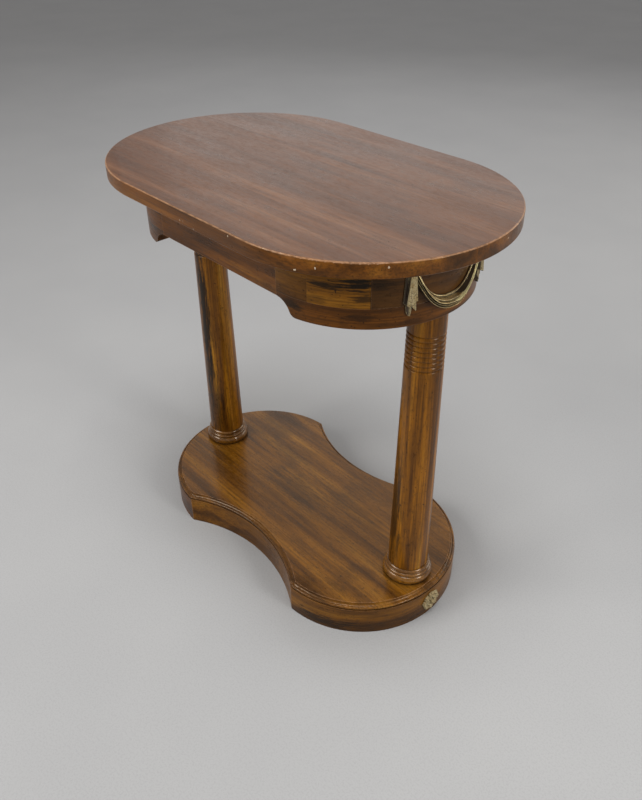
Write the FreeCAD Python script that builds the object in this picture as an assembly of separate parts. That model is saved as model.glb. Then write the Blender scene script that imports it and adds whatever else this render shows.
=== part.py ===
import FreeCAD, Part
import math
import os

# Oval side table on two turned columns, with a drawer in one end.
# Millimetres. +Z is up, +X points to the drawer end, and the origin is the centre of the footprint.

# ---- driving dimensions -------------------------------------------------------------------------
HEIGHT = 610.0
TOP_LENGTH = 605.0
TOP_WIDTH = 371.0
TOP_THICK = 18.5
TOP_EDGE_ROUND = 2.0
FOOT_EDGE_BEVEL = 1.0
TOP_JOINTS = (-116.0, -21.0, 60.0, 128.0)      # glue lines between the boards, along the length

APRON_INSET = 44.5                             # from the edge of the top
APRON_THICK = 19.0
SHALLOW_BOTTOM = 528.0                         # underside of the long sides
DEEP_BOTTOM = 508.0                            # underside of the two ends
COURSE_LINE = 533.5                            # joint between the two courses of an end
OGEE_COVE = 22.0
OGEE_ROUND = 10.0

DRAWER_HALF_ANGLE = 42.0                       # of the curved front, about the arc's centre
BLOCK_JOINT_ANGLE = 71.6
FAR_JOINT_ANGLE = 30.0
REVEAL = 0.5                                   # gap round the drawer front
DRAWER_TRAVEL = 200.0

COLUMN_X = 226.0
COLUMN_TOP_R = 24.0
COLUMN_FOOT_R = 29.4
SPIGOT_TOP_R = 12.0
SPIGOT_FOOT_R = 16.0
RING_COUNT = 7
RING_PITCH = 6.9
RING_START = 425.0                             # height of the lowest groove
GROOVE_DEPTH = 1.7
GROOVE_LIP = (0.9, 0.5)                        # where the end grooves turn over: height, depth
SHAFT_SHOULDER = 2.5                           # plain band next to the end grooves
FOOT_HEIGHT = 24.7

BASE_HEIGHT = 56.3
WALL_HEIGHT = 47.6
WALL_THICK = 20.0
BASE_END_R = 151.3
BASE_END_X = 123.7                             # centre of the end arcs
WAIST_CORNER_X = 130.35                        # where an end arc meets the waist
WAIST_HALF_WIDTH = 112.0
MOULD_INSET = 7.7                              # top edge of the board, in from the wall
PLINTH_BLOCK_R = 26.0                          # glue blocks in the corners of the waist

ROSETTE_Z = 25.0
ROSETTE_R = 12.5                               # to the middle of the petals
PETALS = 8
PETAL_R = 4.8
PETAL_PROUD = 3.0                              # off the plinth's wall
BOSS_R = 6.0
STUD_R = 3.0
STUD_SEAT_DEPTH = 11.0                         # of the blind hole in the wall
STUD_DEPTH = 10.5

CORNER_BLOCK = (24.0, 16.0, 46.0)              # along, across, high
CORNER_BLOCK_GAP = 1.0                         # to the rail
TOP_SCREW_R = 2.2
TOP_SCREW_HEAD = (4.0, 3.0)                    # radius, height
TOP_SCREW_BITE = 12.0                          # thread in the top
RUNNER_SCREW_R = 2.0
RUNNER_SCREW_HEAD = (3.8, 2.4)
RUNNER_SCREW_BITE = 12.0
RUNNER_SCREW_SINK = 0.4                        # head below the runner's top
RUNNER_SCREW_Y = 72.0
SWAG_SCREW_R = 1.9
SWAG_SCREW_HEAD = (4.0, 2.4)
SCREW_POINT = 2.0

# ---- values that follow -------------------------------------------------------------------------
TOP_UNDER = HEIGHT - TOP_THICK
TOP_R = TOP_WIDTH / 2
ARC_X = TOP_LENGTH / 2 - TOP_R                 # centre of the end arcs of the top and the apron
APRON_R = TOP_R - APRON_INSET
INNER_R = APRON_R - APRON_THICK
FIT = 0.1                                      # slip fit between turned or bored pieces
FOOT_TOP = BASE_HEIGHT + FOOT_HEIGHT

BEARER_THICK = 18.0
BEARER_TOP = DEEP_BOTTOM + BEARER_THICK
BEARER_INNER_X = 178.0
RUNNER_THICK = 10.0
RUNNER_TOP = BEARER_TOP + RUNNER_THICK
RUNNER_END_X = 194.0
RUNNER_SCREW_X = (BEARER_INNER_X + RUNNER_END_X) / 2
BOX_HALF_WIDTH = 78.5
SIDE_THICK = 10.0
SIDE_BOTTOM = RUNNER_TOP + 0.3
SIDE_TOP = 584.0
BOX_BACK_X = -90.0
BACK_FRONT_X = -74.0
PANEL_BOTTOM = 541.0
PANEL_TOP = 546.0
BACK_TOP = 578.0
KICKER_BOTTOM = 584.8
TAB_THICK = 12.0
TAB_HALF_WIDTH = 16.0
TAB_TOP = TOP_UNDER - 3.0
TAB_LAP = 20.0                                 # glued on the back of the drawer
BACK_THICK = 10.0
SIDE_IN_FRONT = 8.0                            # how deep the sides and the bottom enter the front
BOTTOM_IN_FRONT = 5.0
STOP_RAIL_X = BACK_FRONT_X + TAB_THICK + DRAWER_TRAVEL + 0.5
STOP_RAIL_WIDTH = 18.0
STOP_RAIL_BOTTOM = 581.0
SUPPORT_INNER = 64.0                           # runners, guides and kickers, across the table
SUPPORT_OUTER = 89.3
GUIDE_INNER = BOX_HALF_WIDTH + 0.8
GUIDE_HEIGHT = 20.0
BACK_STOP = (20.0, 16.0)                       # length, height
BACK_STOP_GAP = 0.4

BOLT_R = 4.0
BOLT_LENGTH = 80.0
HEX_R = 7.5
HEX_HEIGHT = 5.0
WASHER_R = 9.0
WASHER_THICK = 1.5
COLUMN_BLOCK_BOTTOM = 20.3
COLUMN_BLOCK_HALF = 45.0
COLUMN_BLOCK_BEYOND = 16.0                     # of the block, past the middle of the column
BOARD_BOTTOM = 38.3
SPIGOT_BOTTOM = BASE_HEIGHT - 10.0
SPIGOT_TOP = BEARER_TOP - 6.0

WAIST_CORNER_Y = math.sqrt(BASE_END_R ** 2 - (WAIST_CORNER_X - BASE_END_X) ** 2)
WAIST_SAG = WAIST_CORNER_Y - WAIST_HALF_WIDTH
WAIST_R = (WAIST_CORNER_X ** 2 + WAIST_SAG ** 2) / (2 * WAIST_SAG)
WAIST_Y = WAIST_HALF_WIDTH + WAIST_R           # centre of a waist arc

SWAG_BACK_R = APRON_R + 0.05
SWAG_RAIL_GAP = 0.5                            # between the castings and the lower rail
SWAG_ANGLE = 23.9                              # middle of a jabot, from the long axis
SWAG_SCREW_HEIGHTS = (576.0, 552.0)
SWAG_SCREW_BITE = 3.0
FESTOON_PROUD = 12.0
FESTOON_HALF = 52.5
JABOT_PROUD = 8.0

NEAR = 1
FAR = -1
TALL = 900.0                                   # longer than anything that is cut
OVERRUN = 20.0                                 # how far a cutting shape goes past what it cuts


# ---- helpers ------------------------------------------------------------------------------------
def point(x, y, z=0.0):
    return FreeCAD.Vector(x, y, z)


def box(x0, x1, y0, y1, z0, z1):
    return Part.makeBox(x1 - x0, y1 - y0, z1 - z0, point(x0, y0, z0))


def disc(radius, z0, z1, x=0.0, y=0.0):
    return Part.makeCylinder(radius, z1 - z0, point(x, y, z0))


def prism(corners, z0, z1):
    ring = [point(x, y, z0) for x, y in corners]
    wire = Part.makePolygon(ring + ring[:1])
    return Part.Face(wire).extrude(point(0, 0, z1 - z0))


def outline_wire(outline):
    """Closed wire in the XZ plane. The outline is in (x, z), and a step of four numbers is an arc:
    the point that the arc passes through, then its end."""
    edges = []
    start = point(outline[0][0], 0, outline[0][1])
    for step in outline[1:]:
        if len(step) == 4:
            middle = point(step[0], 0, step[1])
            end = point(step[2], 0, step[3])
            edges.append(Part.Arc(start, middle, end).toShape())
        else:
            end = point(step[0], 0, step[1])
            edges.append(Part.makeLine(start, end))
        start = end
    first = point(outline[0][0], 0, outline[0][1])
    if (start - first).Length > 1e-6:
        edges.append(Part.makeLine(start, first))
    return Part.Wire(edges)


def turned(outline, x=0.0, y=0.0):
    """Solid of revolution of an outline in (radius, z)."""
    solid = Part.Face(outline_wire(outline)).revolve(point(0, 0), point(0, 0, 1), 360)
    solid.translate(point(x, y))
    return solid


def half_face(outline):
    """The same outline as a face in the YZ plane, on the +Y side."""
    face = Part.Face(outline_wire(outline))
    face.rotate(point(0, 0), point(0, 0, 1), 90)
    return face


def sector(r_in, r_out, a0, a1, z0, z1, end=NEAR):
    """Part of a ring about the arc centre of one end. Angles are from the long axis."""
    wedge = Part.makeCylinder(r_out, z1 - z0, point(0, 0, z0), point(0, 0, 1), a1 - a0)
    core = Part.makeCylinder(r_in, z1 - z0, point(0, 0, z0))
    ring = wedge.cut(core)
    ring.rotate(point(0, 0), point(0, 0, 1), a0)
    ring.translate(point(ARC_X, 0))
    return turned_round(ring, end)


def turned_round(shape, end):
    """The same shape at the other end of the table, half a turn round."""
    if end == FAR:
        shape = shape.copy()
        shape.rotate(point(0, 0), point(0, 0, 1), 180)
    return shape


def mirrored(shape):
    return shape.mirror(point(0, 0), point(0, 1, 0))


def save(name, *solids):
    """One STEP file for a node. Several solids make a group of identical small pieces."""
    pieces = [s for shape in solids for s in shape.Solids]
    shape = pieces[0] if len(pieces) == 1 else Part.makeCompound(pieces)
    if not shape.isValid():
        print("invalid:", name)
    shape.exportStep("parts/" + name + ".step")


# ---- the top ------------------------------------------------------------------------------------
def make_top():
    """The oval slab with an eased upper edge, sawn into its boards."""
    shoulder = HEIGHT - TOP_EDGE_ROUND
    bend = TOP_EDGE_ROUND * math.sin(math.radians(45))
    inside_r = TOP_R - TOP_EDGE_ROUND
    outline = [(0, TOP_UNDER), (TOP_R - FOOT_EDGE_BEVEL, TOP_UNDER), (TOP_R, TOP_UNDER + FOOT_EDGE_BEVEL),
               (TOP_R, shoulder), (inside_r + bend, shoulder + bend, inside_r, HEIGHT), (0, HEIGHT)]
    half = half_face(outline)
    middle = half.fuse(mirrored(half)).removeSplitter().extrude(point(2 * ARC_X, 0, 0))
    middle.translate(point(-ARC_X, 0))
    near = turned(outline, ARC_X)
    slab = middle.multiFuse([near, turned_round(near, FAR)])
    slab = slab.cut(Part.makeCompound(top_screw_solids()))
    edges = (-TOP_R - 1,) + TOP_JOINTS + (TOP_R + 1,)
    for i in range(len(edges) - 1):
        strip = box(-TALL, TALL, edges[i], edges[i + 1], TOP_UNDER - 1, HEIGHT + 1)
        save("top_board_%d" % (i + 1), slab.common(strip).removeSplitter())


# ---- the apron ----------------------------------------------------------------------------------
def ogee_cutter():
    """Removes the wood below the ogee at one tip of an end: a cove above, a round below."""
    drop = SHALLOW_BOTTOM - DEEP_BOTTOM
    turn = math.acos(1 - drop / (OGEE_COVE + OGEE_ROUND))
    run = (OGEE_COVE + OGEE_ROUND) * math.sin(turn)
    cove_z = SHALLOW_BOTTOM - OGEE_COVE
    round_z = DEEP_BOTTOM + OGEE_ROUND

    def on_cove(angle):
        return point(ARC_X + OGEE_COVE * math.sin(angle), 0, cove_z + OGEE_COVE * math.cos(angle))

    def on_round(angle):
        dx = OGEE_ROUND * math.sin(angle)
        return point(ARC_X + run - dx, 0, round_z - OGEE_ROUND * math.cos(angle))

    below = DEEP_BOTTOM - OVERRUN
    corners = [on_round(0), point(ARC_X + run, 0, below), point(ARC_X - OVERRUN, 0, below),
               point(ARC_X - OVERRUN, 0, SHALLOW_BOTTOM), on_cove(0)]
    edges = [Part.Arc(on_cove(0), on_cove(turn / 2), on_cove(turn)).toShape(),
             Part.Arc(on_cove(turn), on_round(turn / 2), on_round(0)).toShape()]
    edges += [Part.makeLine(a, b) for a, b in zip(corners, corners[1:])]
    face = Part.Face(Part.Wire(Part.__sortEdges__(edges)))
    return face.extrude(point(0, APRON_R + OVERRUN, 0))


def make_apron():
    rail = box(-ARC_X, ARC_X, -APRON_R, -INNER_R, SHALLOW_BOTTOM, TOP_UNDER)
    save("side_rail_left", rail)
    save("side_rail_right", mirrored(rail))

    cutter = ogee_cutter()
    course = sector(INNER_R, APRON_R, -90, 90, DEEP_BOTTOM, COURSE_LINE)
    course = course.cut(Part.makeCompound([cutter, mirrored(cutter)]))
    save("lower_end_rail_near", course)
    save("lower_end_rail_far", turned_round(course, FAR))

    near_angles = (-90, -BLOCK_JOINT_ANGLE, -DRAWER_HALF_ANGLE)
    blocks = [sector(INNER_R, APRON_R, a, b, COURSE_LINE, TOP_UNDER)
              for a, b in zip(near_angles, near_angles[1:])]
    blocks += [mirrored(b) for b in reversed(blocks)]
    for i, block in enumerate(blocks):
        save("frieze_block_near_%d" % (i + 1), block)

    far_angles = (-90, -FAR_JOINT_ANGLE, FAR_JOINT_ANGLE, 90)
    for i in range(3):
        block = sector(INNER_R, APRON_R, far_angles[i], far_angles[i + 1], COURSE_LINE, TOP_UNDER, FAR)
        if i == 1:
            block = block.cut(turned_round(swag_screw_holes(), FAR))
        save("frieze_block_far_%d" % (i + 1), block)


def corner_block_centres():
    across = INNER_R - CORNER_BLOCK_GAP - CORNER_BLOCK[1] / 2
    return [(x, y) for x in (-ARC_X, ARC_X) for y in (-across, across)]


def top_screw_solids():
    """Screws up through the corner blocks into the top."""
    head_r, head_high = TOP_SCREW_HEAD
    head_z = TOP_UNDER - CORNER_BLOCK[2]
    thread_top = TOP_UNDER + TOP_SCREW_BITE
    outline = [(0, head_z - head_high), (head_r, head_z - head_high), (head_r, head_z),
               (TOP_SCREW_R, head_z), (TOP_SCREW_R, thread_top), (0, thread_top + SCREW_POINT)]
    return [turned(outline, x, y) for x, y in corner_block_centres()]


def make_corner_blocks():
    along, across, high = CORNER_BLOCK
    screws = top_screw_solids()
    blocks = []
    for (x, y), screw in zip(corner_block_centres(), screws):
        block = box(x - along / 2, x + along / 2, y - across / 2, y + across / 2,
                    TOP_UNDER - high, TOP_UNDER)
        blocks.append(block.cut(screw))
    save("corner_blocks", *blocks)
    save("top_screws", *screws)


# ---- columns ------------------------------------------------------------------------------------
def column_radius(z):
    share = (z - FOOT_TOP) / (DEEP_BOTTOM - FOOT_TOP)
    return COLUMN_FOOT_R + (COLUMN_TOP_R - COLUMN_FOOT_R) * share


def shaft_outline():
    """Tapered shaft with its spigots and the turned rings under the head, in (radius, z)."""
    lip_high, lip_deep = GROOVE_LIP
    outline = [(0, SPIGOT_BOTTOM), (SPIGOT_FOOT_R, SPIGOT_BOTTOM), (SPIGOT_FOOT_R, FOOT_TOP),
               (column_radius(FOOT_TOP), FOOT_TOP)]
    z = RING_START
    outline.append((column_radius(z - SHAFT_SHOULDER), z - SHAFT_SHOULDER))
    outline.append((column_radius(z) - lip_deep, z - lip_high, column_radius(z) - GROOVE_DEPTH, z))
    for _ in range(RING_COUNT):
        middle = z + RING_PITCH / 2
        z = z + RING_PITCH
        outline.append((column_radius(middle), middle, column_radius(z) - GROOVE_DEPTH, z))
    top = z + SHAFT_SHOULDER
    outline.append((column_radius(z) - lip_deep, z + lip_high, column_radius(top), top))
    outline += [(COLUMN_TOP_R, DEEP_BOTTOM), (SPIGOT_TOP_R, DEEP_BOTTOM), (SPIGOT_TOP_R, SPIGOT_TOP),
                (0, SPIGOT_TOP)]
    return outline


def foot_outline():
    """Collar of a column: a torus, a bead and an upper bead, in (radius, z)."""
    z = BASE_HEIGHT
    return [(SPIGOT_FOOT_R + FIT, z), (34.6, z),
            (37.0, z + 6.6, 34.2, z + 12.6), (32.8, z + 13.0),
            (33.9, z + 15.2, 32.8, z + 17.4), (30.9, z + 18.4),
            (32.3, z + 21.4, 30.6, FOOT_TOP), (SPIGOT_FOOT_R + FIT, FOOT_TOP)]


def make_columns():
    for name, end in (("near", NEAR), ("far", FAR)):
        x = end * COLUMN_X
        bolts = Part.makeCompound([b for b in column_bolt_solids() if b.BoundBox.Center.x * end > 0])
        save("column_" + name, turned(shaft_outline(), x).cut(bolts))
        save("column_foot_" + name, turned(foot_outline(), x))


def bolt(x, z, up):
    """Hex-headed bolt. z is the seat of its head, and the shank runs up or down from there."""
    head = prism([(HEX_R * math.cos(math.radians(a)), HEX_R * math.sin(math.radians(a)))
                  for a in range(0, 360, 60)], -HEX_HEIGHT, 0.0)
    shank = disc(BOLT_R, 0.0, BOLT_LENGTH)
    solid = head.fuse(shank).removeSplitter()
    if not up:
        solid.rotate(point(0, 0), point(1, 0, 0), 180)
    solid.translate(point(x, 0, z))
    return solid


def column_bolt_solids():
    """The four bolts: down into the head and up into the foot of each column."""
    top_seat = BEARER_TOP + WASHER_THICK
    foot_seat = COLUMN_BLOCK_BOTTOM - WASHER_THICK
    ends = (COLUMN_X, -COLUMN_X)
    return [bolt(x, top_seat, False) for x in ends] + [bolt(x, foot_seat, True) for x in ends]


def make_column_fixings():
    seats = (BEARER_TOP, COLUMN_BLOCK_BOTTOM - WASHER_THICK)
    washers = [disc(WASHER_R, z, z + WASHER_THICK, x).cut(disc(BOLT_R + FIT, z - 1, z + 2 * WASHER_THICK, x))
               for z in seats for x in (COLUMN_X, -COLUMN_X)]
    save("column_bolts", *column_bolt_solids())
    save("column_washers", *washers)

    arc = disc(INNER_R, DEEP_BOTTOM, BEARER_TOP, ARC_X)
    bearer = box(BEARER_INNER_X, ARC_X + INNER_R + 1, -INNER_R, INNER_R, DEEP_BOTTOM, BEARER_TOP)
    bearer = bearer.common(arc)
    bearer = bearer.cut(disc(SPIGOT_TOP_R + FIT, DEEP_BOTTOM - 1, SPIGOT_TOP, COLUMN_X))
    bearer = bearer.cut(disc(BOLT_R + FIT, DEEP_BOTTOM, BEARER_TOP + 1, COLUMN_X))
    block = box(COLUMN_X - COLUMN_BLOCK_HALF, COLUMN_X + COLUMN_BLOCK_BEYOND, -COLUMN_BLOCK_HALF,
                COLUMN_BLOCK_HALF, COLUMN_BLOCK_BOTTOM, BOARD_BOTTOM)
    block = block.cut(disc(BOLT_R + FIT, 0, BASE_HEIGHT, COLUMN_X))
    screws = Part.makeCompound(runner_screw_solids())
    for name, end in (("near", NEAR), ("far", FAR)):
        save("column_bearer_" + name, turned_round(bearer, end).cut(screws))
        save("column_block_" + name, turned_round(block, end))


# ---- the plinth ---------------------------------------------------------------------------------
def waisted(edge):
    """Solid with the plinth's outline. The edge is its profile, in (inset, z), as for turned()."""
    def offset(base, sign):
        steps = []
        for step in edge:
            steps.append(tuple(base + sign * v if i % 2 == 0 else v for i, v in enumerate(step)))
        return [(0, edge[0][-1])] + steps + [(0, edge[-1][-1])]

    z0 = edge[0][-1]
    z1 = edge[-1][-1]
    ends = [turned(offset(BASE_END_R, -1), x) for x in (-BASE_END_X, BASE_END_X)]
    half_x = BASE_END_X / 2
    half_y = WAIST_HALF_WIDTH + 12.0           # lies inside both discs at its corners
    middle = box(-half_x, half_x, -half_y, half_y, z0, z1)
    solid = middle.multiFuse(ends)
    for y in (-WAIST_Y, WAIST_Y):
        solid = solid.cut(turned(offset(WAIST_R, 1), 0, y))
    return solid.removeSplitter()


def waist_corner(inset):
    """Corner of the outline at +X, +Y, where the offset end arc meets the offset waist arc."""
    r_end = BASE_END_R - inset
    r_waist = WAIST_R + inset
    gap = math.hypot(BASE_END_X, WAIST_Y)
    along = (gap ** 2 + r_end ** 2 - r_waist ** 2) / (2 * gap)
    aside = math.sqrt(r_end ** 2 - along ** 2)
    ux = -BASE_END_X / gap
    uy = WAIST_Y / gap
    return BASE_END_X + along * ux + aside * uy, along * uy - aside * ux


def rosette_seat(end):
    """Blind hole in a plinth end for the stud of its rosette."""
    bottom = point(BASE_END_X + BASE_END_R - STUD_SEAT_DEPTH, 0, ROSETTE_Z)
    hole = Part.makeCylinder(STUD_R, STUD_SEAT_DEPTH + 1, bottom, point(1, 0, 0))
    return turned_round(hole, end)


def make_base_board():
    """The top of the plinth, with a fillet, a bead and a cove round its edge, and a tongue that
    locates it between the walls."""
    bead = [(1.8, WALL_HEIGHT), (1.8, 48.5), (0.54, 50.4, 3.4, 52.3), (3.9, 51.6)]
    cove = [(6.3, 52.7, MOULD_INSET - 0.4, BASE_HEIGHT - 0.8), (MOULD_INSET, BASE_HEIGHT)]
    board = waisted(bead + cove)
    tongue = waisted([(WALL_THICK + FIT, BOARD_BOTTOM), (WALL_THICK + FIT, WALL_HEIGHT)])
    board = board.fuse(tongue).removeSplitter()
    for x in (-COLUMN_X, COLUMN_X):
        board = board.cut(disc(SPIGOT_FOOT_R + FIT, SPIGOT_BOTTOM, BASE_HEIGHT + 1, x))
        board = board.cut(disc(BOLT_R + FIT, 0, BASE_HEIGHT, x))
    save("base_board", board)


def make_plinth():
    ring = waisted([(0, 0), (0, WALL_HEIGHT)])
    hollow = waisted([(WALL_THICK, 0), (WALL_THICK, WALL_HEIGHT)])
    ring = ring.cut(hollow)
    x_in, y_in = waist_corner(WALL_THICK)
    x_out, y_out = waist_corner(0)
    stretch = 3.0
    x_far = x_in + stretch * (x_out - x_in)
    y_far = y_in + stretch * (y_out - y_in)
    end_region = prism([(x_in, y_in), (x_far, y_far), (TALL, y_far), (TALL, -y_far), (x_far, -y_far),
                        (x_in, -y_in)], -1, WALL_HEIGHT + 1)
    near = ring.common(end_region).cut(rosette_seat(NEAR))
    save("plinth_end_near", near)
    save("plinth_end_far", turned_round(near, FAR))
    sides = ring.cut(Part.makeCompound([end_region, turned_round(end_region, FAR)]))
    for solid in sides.Solids:
        name = "plinth_side_left" if solid.BoundBox.Center.y < 0 else "plinth_side_right"
        save(name, solid)

    off_floor = 8.0
    inside = waisted([(WALL_THICK + FIT, off_floor), (WALL_THICK + FIT, BOARD_BOTTOM)])
    blocks = [inside.common(disc(PLINTH_BLOCK_R, 0, BASE_HEIGHT, sx * x_in, sy * y_in))
              for sx in (-1, 1) for sy in (-1, 1)]
    save("plinth_blocks", *blocks)


def make_rosettes():
    """Scalloped boss with a domed middle and a stud, bedded on the curved wall."""
    x_wall = BASE_END_X + BASE_END_R
    along = point(1, 0, 0)
    behind = 3.0
    back = point(x_wall - behind, 0, ROSETTE_Z)
    plate = Part.makeCylinder(ROSETTE_R, behind + PETAL_PROUD + 0.5, back, along)
    lobes = []
    for i in range(PETALS):
        a = 2 * math.pi * i / PETALS
        centre = point(x_wall - behind, ROSETTE_R * math.cos(a), ROSETTE_Z + ROSETTE_R * math.sin(a))
        lobes.append(Part.makeCylinder(PETAL_R, behind + PETAL_PROUD, centre, along))
    dome = Part.makeSphere(BOSS_R, point(x_wall + 2.0, 0, ROSETTE_Z))
    body = plate.multiFuse(lobes + [dome])
    body = body.cut(disc(BASE_END_R + 0.02, -10, BASE_HEIGHT + 10, BASE_END_X))
    stud_end = point(x_wall - STUD_DEPTH, 0, ROSETTE_Z)
    stud = Part.makeCylinder(STUD_R - FIT, STUD_DEPTH + PETAL_PROUD - 0.5, stud_end, along)
    rosette = body.fuse(stud).removeSplitter()
    save("rosette_near", rosette)
    save("rosette_far", turned_round(rosette, FAR))


# ---- the drawer ---------------------------------------------------------------------------------
def inside_arc(radius):
    """Everything behind an arc of this radius at the near end."""
    return disc(radius, 0, HEIGHT, ARC_X).fuse(box(-TALL, ARC_X, -radius, radius, 0, HEIGHT))


def drawer_side():
    side = box(BOX_BACK_X, TALL, -BOX_HALF_WIDTH, -BOX_HALF_WIDTH + SIDE_THICK, SIDE_BOTTOM, SIDE_TOP)
    return side.common(inside_arc(INNER_R + SIDE_IN_FRONT))


def drawer_panel():
    half = BOX_HALF_WIDTH - SIDE_THICK / 2
    panel = box(BOX_BACK_X + 2, TALL, -half, half, PANEL_BOTTOM, PANEL_TOP)
    return panel.common(inside_arc(INNER_R + BOTTOM_IN_FRONT))


def make_drawer():
    side = drawer_side()
    panel = drawer_panel()
    slack = math.degrees(REVEAL / APRON_R)
    front = sector(INNER_R, APRON_R, -DRAWER_HALF_ANGLE + slack, DRAWER_HALF_ANGLE - slack,
                   COURSE_LINE + REVEAL, TOP_UNDER - REVEAL)
    front = front.cut(Part.makeCompound([side, mirrored(side)])).cut(panel)
    front = front.cut(swag_screw_holes())
    save("drawer_front", front)
    side = side.cut(panel)
    save("drawer_side_left", side)
    save("drawer_side_right", mirrored(side))
    half = BOX_HALF_WIDTH - SIDE_THICK
    save("drawer_back", box(BACK_FRONT_X - BACK_THICK, BACK_FRONT_X, -half, half, PANEL_TOP, BACK_TOP))
    save("drawer_bottom", panel)
    save("drawer_stop_tab", box(BACK_FRONT_X, BACK_FRONT_X + TAB_THICK, -TAB_HALF_WIDTH, TAB_HALF_WIDTH,
                                BACK_TOP - TAB_LAP, TAB_TOP))


def runner_screw_solids():
    """Countersunk screws down through the runners into the bearers."""
    head_r, head_high = RUNNER_SCREW_HEAD
    thread_end = BEARER_TOP - RUNNER_SCREW_BITE
    head_top = RUNNER_TOP - RUNNER_SCREW_SINK
    seat = head_top - head_high
    outline = [(0, thread_end - SCREW_POINT), (RUNNER_SCREW_R, thread_end), (RUNNER_SCREW_R, seat),
               (head_r, seat), (head_r, head_top), (0, head_top)]
    return [turned(outline, sx * RUNNER_SCREW_X, sy * RUNNER_SCREW_Y) for sx in (-1, 1) for sy in (-1, 1)]


def make_drawer_support():
    screws = Part.makeCompound(runner_screw_solids())
    head_r, head_high = RUNNER_SCREW_HEAD
    well_bottom = RUNNER_TOP - RUNNER_SCREW_SINK - head_high
    head_wells = [disc(head_r, well_bottom, RUNNER_TOP + 1, s.BoundBox.Center.x, s.BoundBox.Center.y)
                  for s in screws.Solids]
    ends = (-RUNNER_END_X, RUNNER_END_X)
    runner = box(*ends, -SUPPORT_OUTER, -SUPPORT_INNER, BEARER_TOP, RUNNER_TOP)
    guide = box(*ends, -SUPPORT_OUTER, -GUIDE_INNER, RUNNER_TOP, RUNNER_TOP + GUIDE_HEIGHT)
    kicker = box(*ends, -SUPPORT_OUTER, -SUPPORT_INNER, KICKER_BOTTOM, TOP_UNDER)
    for name, place in (("left", lambda s: s), ("right", mirrored)):
        cut_runner = place(runner).cut(screws).cut(Part.makeCompound(head_wells))
        save("drawer_runner_" + name, cut_runner)
        save("drawer_guide_" + name, place(guide))
        save("drawer_kicker_" + name, place(kicker))
    save("runner_screws", *runner_screw_solids())
    save("drawer_stop_rail", box(STOP_RAIL_X, STOP_RAIL_X + STOP_RAIL_WIDTH, -SUPPORT_INNER, SUPPORT_INNER,
                                 STOP_RAIL_BOTTOM, TOP_UNDER))
    stop_long, stop_high = BACK_STOP
    stop = box(BOX_BACK_X - stop_long, BOX_BACK_X - BACK_STOP_GAP, -BOX_HALF_WIDTH, -SUPPORT_INNER - 2,
               RUNNER_TOP, RUNNER_TOP + stop_high)
    save("drawer_stops", stop, mirrored(stop))


# ---- the brass swag -----------------------------------------------------------------------------
def bedded(corners, proud):
    """Plate with an outline in (y, z) that follows the curve of the apron. Below the joint of
    the courses it stands clear of the lower rail, which the drawer slides past."""
    ring = [point(0, y, z) for y, z in corners]
    face = Part.Face(Part.makePolygon(ring + ring[:1]))
    plate = face.extrude(point(TALL, 0, 0))
    plate = plate.common(sector(SWAG_BACK_R, SWAG_BACK_R + proud, -60, 60, DEEP_BOTTOM, TOP_UNDER))
    return plate.cut(disc(APRON_R + SWAG_RAIL_GAP, 0, COURSE_LINE + REVEAL, ARC_X))


def festoon_outline():
    """Crescent between two hanging curves, as (y, z)."""
    steps = 8
    shares = [i / steps for i in range(-steps, steps + 1)]
    upper = [(share * FESTOON_HALF, 543.0 + 40.0 * abs(share) ** 2.1) for share in shares]
    lower = [(share * FESTOON_HALF, 526.0 + 45.0 * abs(share) ** 2.4) for share in shares]
    return upper + lower[::-1]


def jabot_outline():
    """Folded tail with a pointed hem, as (y, z) on the -Y side."""
    return [(-63.0, 590.0), (-53.0, 590.0), (-52.6, 560.0), (-51.8, 542.0), (-55.4, 538.5),
            (-53.2, 528.0), (-58.6, 523.0), (-61.0, 521.0), (-62.2, 528.0), (-66.8, 538.0)]


def swag_screw_solids():
    """Screws through the curved wood into the castings, with their heads inside."""
    head_r, head_high = SWAG_SCREW_HEAD
    overlap = 0.2                              # of the head and its shank
    seat = INNER_R - overlap
    solids = []
    for angle in (-SWAG_ANGLE, SWAG_ANGLE):
        for z in SWAG_SCREW_HEIGHTS:
            along = point(1, 0, 0)
            head = Part.makeCylinder(head_r, head_high, point(seat - head_high, 0, z), along)
            shank_start = seat - overlap
            shank_long = APRON_R + SWAG_SCREW_BITE - shank_start
            shank = Part.makeCylinder(SWAG_SCREW_R, shank_long, point(shank_start, 0, z), along)
            screw = head.fuse(shank).removeSplitter()
            screw.rotate(point(0, 0), point(0, 0, 1), angle)
            screw.translate(point(ARC_X, 0))
            solids.append(screw)
    return solids


def swag_screw_holes():
    holes = []
    for angle in (-SWAG_ANGLE, SWAG_ANGLE):
        for z in SWAG_SCREW_HEIGHTS:
            start = point(INNER_R - 5, 0, z)
            hole = Part.makeCylinder(SWAG_SCREW_R + FIT, APRON_R, start, point(1, 0, 0))
            hole.rotate(point(0, 0), point(0, 0, 1), angle)
            hole.translate(point(ARC_X, 0))
            holes.append(hole)
    return Part.makeCompound(holes)


def make_swags():
    screws = swag_screw_solids()
    holes = Part.makeCompound(screws)
    plate = bedded(jabot_outline(), JABOT_PROUD)
    jabots = (plate.cut(holes), mirrored(plate).cut(holes))
    festoon = bedded(festoon_outline(), FESTOON_PROUD).cut(Part.makeCompound(jabots)).cut(holes)
    for name, end in (("near", NEAR), ("far", FAR)):
        save(name + "_festoon", turned_round(festoon, end))
        save(name + "_jabot_left", turned_round(jabots[0], end))
        save(name + "_jabot_right", turned_round(jabots[1], end))
        save(name + "_swag_screws", *[turned_round(s, end) for s in screws])


def main():
    os.makedirs("parts", exist_ok=True)
    make_top()
    make_apron()
    make_corner_blocks()
    make_columns()
    make_column_fixings()
    make_base_board()
    make_plinth()
    make_rosettes()
    make_drawer()
    make_drawer_support()
    make_swags()


main()
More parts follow.
